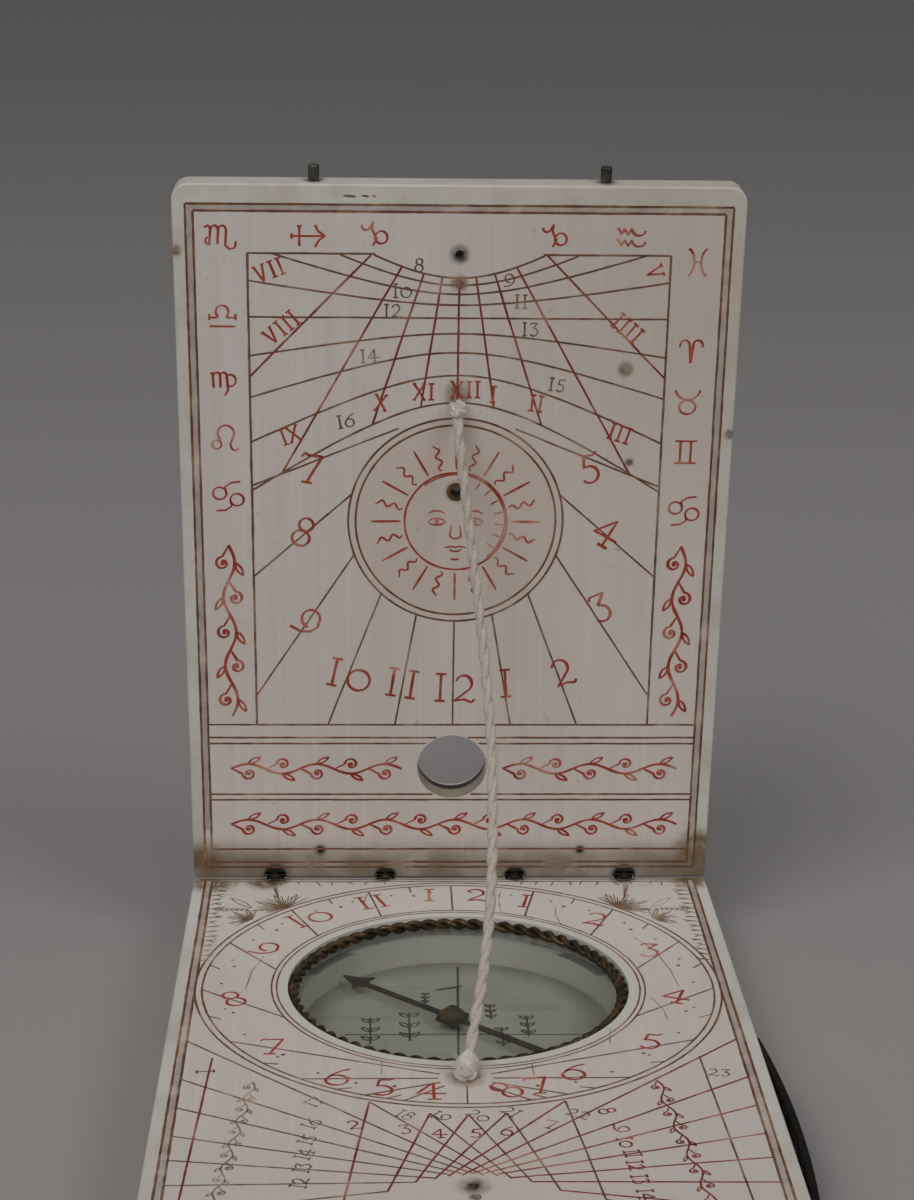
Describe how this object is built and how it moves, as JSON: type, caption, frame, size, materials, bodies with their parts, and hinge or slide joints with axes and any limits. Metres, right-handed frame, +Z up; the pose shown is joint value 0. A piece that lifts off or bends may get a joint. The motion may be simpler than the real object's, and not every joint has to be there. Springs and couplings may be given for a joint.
{
  "type": "pocket sundial",
  "caption": "Folding pocket sundial: two hinged ivory leaves with engraved dials, a string gnomon and a glazed compass in the lower leaf.",
  "frame": {"origin": "centre of the lower leaf's underside, which rests on the table", "axes": "+Z up from the underside, +Y towards the hinge (north when the dial is set), +X to the right (east)"},
  "size_m": [0.0743, 0.1034, 0.1093],
  "materials": {
    "ivory": "polished ivory",
    "card": "matte",
    "glass": "old flat glass",
    "brass": "darkened",
    "ring_wire": "darkened, twisted",
    "hinge_metal": "tarnished",
    "latch_metal": "dark oxidised",
    "steel": "dull",
    "needle_steel": "dark, slightly rusted",
    "string": "twisted linen thread"
  },
  "bodies": {
    "base": {"lower_leaf": "ivory", "compass_card": "card", "compass_pivot": "steel", "compass_glass": "glass", "glass_ring": "ring_wire", "hinge_staple_inner_left": "hinge_metal", "hinge_staple_outer_left": "hinge_metal", "hinge_staple_inner_right": "hinge_metal", "hinge_staple_outer_right": "hinge_metal", "hook_rivet_left": "brass", "hook_rivet_right": "brass", "cover_rivet": "brass", "shadow_pin": "brass", "string_gnomon": "string", "string_knot_lower": "string"},
    "lid": {"upper_leaf": "ivory", "lid_hinge_wire_left": "hinge_metal", "lid_hinge_wire_right": "hinge_metal", "wire_peg_left": "hinge_metal", "wire_peg_right": "hinge_metal", "latch_pin_left": "latch_metal", "latch_pin_right": "latch_metal", "vane_socket": "brass", "string_knot_upper": "string"},
    "needle": {"compass_needle": "needle_steel", "needle_cap": "brass"},
    "hook_left": {"latch_hook_left": "brass"},
    "hook_right": {"latch_hook_right": "brass"},
    "cover": {"side_cover": "brass"}
  },
  "joints": [
    {"name": "lid_hinge", "type": "hinge", "parent": "base", "child": "lid", "pos_m": [0, 0.04875, 0.01], "axis": [-1, 0, 0], "range_deg": [-84.2, 5.8], "deforming": ["string_gnomon", "string_knot_upper", "string_knot_lower"]},
    {"name": "needle_spin", "type": "hinge", "parent": "base", "child": "needle", "pos_m": [-0.0007, 0.01325, 0.006], "axis": [0, 0, 1], "continuous": true},
    {"name": "hook_left_turn", "type": "hinge", "parent": "base", "child": "hook_left", "pos_m": [-0.0183, -0.04875, 0.005], "axis": [0, 1, 0], "range_deg": [0, 90]},
    {"name": "hook_right_turn", "type": "hinge", "parent": "base", "child": "hook_right", "pos_m": [0.0183, -0.04875, 0.005], "axis": [0, -1, 0], "range_deg": [0, 90]},
    {"name": "cover_turn", "type": "hinge", "parent": "base", "child": "cover", "pos_m": [0.036, -0.04255, 0.005], "axis": [1, 0, 0], "range_deg": [0, 110]}
  ]
}
